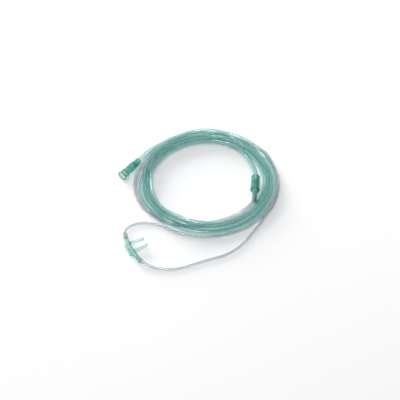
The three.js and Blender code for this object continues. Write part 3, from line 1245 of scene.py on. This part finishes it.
@dataclass
class Studio:
    """Pale floor, soft lights and the camera of the photograph."""

    layout: Layout
    lights: tuple[SoftLight, ...] = (
        SoftLight("key", (-2.45, 3.95, 1.15), (3.0, 2.0), 470.0, mirrored=False),
        SoftLight("overhead", (-0.4, 0.9, 3.0), (0.6, 1.1), 44.0, mirrored=True),
    )
    sky_stops: tuple[tuple[float, tuple[float, float, float]], ...] = (
        (0.0, (0.10, 0.11, 0.11)), (0.22, (0.26, 0.27, 0.27)),
        (0.55, (0.62, 0.62, 0.63)), (1.0, (0.80, 0.80, 0.80)),
    )
    sky_strength: float = 0.62
    side_dimming: float = 0.35
    right_dimming: float = 0.12
    bounces: int = 28
    sensor: float = 36.0
    image_width: float = 400.0
    elevation: float = 48.0
    lens: float = 300.0
    pixels_per_metre: float = 819.7
    centre_offset: tuple[float, float] = (-0.0105, -0.0259)
    floor_half: float = 8.0

    def camera(self) -> None:
        """Aims the camera at the floor point in the middle of the photograph."""
        data = bpy.data.cameras.new("camera")
        data.lens, data.sensor_width = self.lens, self.sensor
        data.clip_end = 60.0
        camera = bpy.data.objects.new("camera", data)
        bpy.context.scene.collection.objects.link(camera)
        bpy.context.scene.camera = camera
        distance = self.lens / self.sensor * self.image_width / self.pixels_per_metre
        tilt = math.radians(self.elevation)
        target = Vector(self.layout.axis) + Vector((*self.centre_offset, 0.0))
        away = Vector((0.0, -math.cos(tilt), math.sin(tilt)))
        camera.location = target + away * distance
        camera.rotation_euler = (math.pi / 2 - tilt, 0.0, 0.0)

    def floor(self) -> None:
        """A wide, plain, nearly white floor."""
        far = self.floor_half
        corners = np.array([[-far, -far, 0], [far, -far, 0], [far, far, 0], [-far, far, 0]])
        floor = put_mesh("floor", corners, [(0, 1, 2, 3)])
        material = bpy.data.materials.new("pale_floor")
        material.use_nodes = True
        principled = material.node_tree.nodes["Principled BSDF"]
        principled.inputs["Base Color"].default_value = (0.86, 0.86, 0.865, 1.0)
        principled.inputs["Roughness"].default_value = 0.7
        principled.inputs["Specular IOR Level"].default_value = 0.2
        floor.data.materials.append(material)

    def area(self, soft: SoftLight) -> None:
        """Adds a soft light aimed at the coil.

        Args:
            soft: What the light is like.
        """
        data = bpy.data.lights.new(soft.name, "AREA")
        data.shape, data.size, data.size_y, data.energy = "RECTANGLE", *soft.size, soft.power
        light = bpy.data.objects.new(soft.name, data)
        bpy.context.scene.collection.objects.link(light)
        light.visible_glossy = light.visible_transmission = soft.mirrored
        light.location = Vector(self.layout.axis) + Vector(soft.place)
        aim = Vector(self.layout.axis) - light.location
        light.rotation_euler = aim.to_track_quat("-Z", "Y").to_euler()

    def sky(self) -> None:
        """Lights the scene from all round, bright overhead, dim at the horizon and to the sides."""
        world = bpy.data.worlds.new("studio")
        world.use_nodes = True
        tree = world.node_tree
        tree.nodes.clear()
        shade = Shade(tree)
        place = shade.node("ShaderNodeTexCoord", out="Generated")
        height = shade.node("ShaderNodeSeparateXYZ", {}, {0: place}, "Z")
        right = shade.node("ShaderNodeSeparateXYZ", {}, {0: place}, "X")
        stops = [(place_on, rgba(colour)) for place_on, colour in self.sky_stops]
        share = height - self.side_dimming * (right * right) - self.right_dimming * right
        ramp = shade.node("ShaderNodeValToRGB", {"stops": stops}, {0: share})
        glow = {"Color": ramp, "Strength": self.sky_strength}
        light = shade.node("ShaderNodeBackground", {}, glow)
        shade.node("ShaderNodeOutputWorld", {}, {"Surface": light})
        bpy.context.scene.world = world

    def build(self) -> None:
        """Sets the floor, the sky, the lights and the way colours are shown."""
        scene = bpy.context.scene
        scene.view_settings.view_transform = "Standard"
        scene.cycles.max_bounces = scene.cycles.transmission_bounces = self.bounces
        scene.cycles.transparent_max_bounces = 64
        self.floor()
        self.sky()
        for soft in self.lights:
            self.area(soft)


def finishes() -> dict[Slot, bpy.types.Material]:
    """The four vinyls.

    Returns:
        Material of each slot.
    """
    green = Vinyl(
        "green_tube_vinyl",
        surface=(0.95, 0.985, 0.975),
        depth_colour=(0.22, 0.77, 0.725),
        depth=205.0,
        body=(0.22, 0.46, 0.40),
        light_passed=(0.853, 0.80, 0.81),
    )
    moulded = Vinyl(
        "moulded_green_vinyl",
        surface=(0.86, 0.97, 0.94),
        depth_colour=(0.22, 0.76, 0.68),
        depth=250.0,
        body=(0.16, 0.38, 0.32),
        light_passed=(0.80, 0.76, 0.76),
        haze=0.20,
        roughness=0.12,
    )
    soft = Vinyl(
        "soft_teal_vinyl",
        surface=(0.92, 0.97, 0.96),
        depth_colour=(0.30, 0.77, 0.73),
        depth=200.0,
        body=(0.28, 0.50, 0.47),
        light_passed=(0.84, 0.80, 0.80),
        haze=0.09,
        roughness=0.14,
    )
    clear = Vinyl(
        "clear_tube_vinyl",
        surface=(0.97, 0.98, 0.985),
        depth_colour=(0.20, 0.31, 0.36),
        depth=220.0,
        body=(0.50, 0.56, 0.60),
        light_passed=(0.90, 0.89, 0.885),
        haze=0.12,
    )
    slots = (Slot.SUPPLY, Slot.MOULDED, Slot.SOFT, Slot.CLEAR)
    return {slot: vinyl.make() for slot, vinyl in zip(slots, (green, moulded, soft, clear))}


def main() -> None:
    """Builds the scene, in order, and logs each piece."""
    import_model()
    layout = Layout()
    studio = Studio(layout)
    studio.camera()
    finish = finishes()
    Tubes(layout, CoilLay(layout).lay()).build(finish)
    for fitting in (SocketConnector(layout), TubeJunction(layout), NosePiece(layout)):
        fitting.build(finish)
    studio.build()


if __name__ == "__main__":
    main()
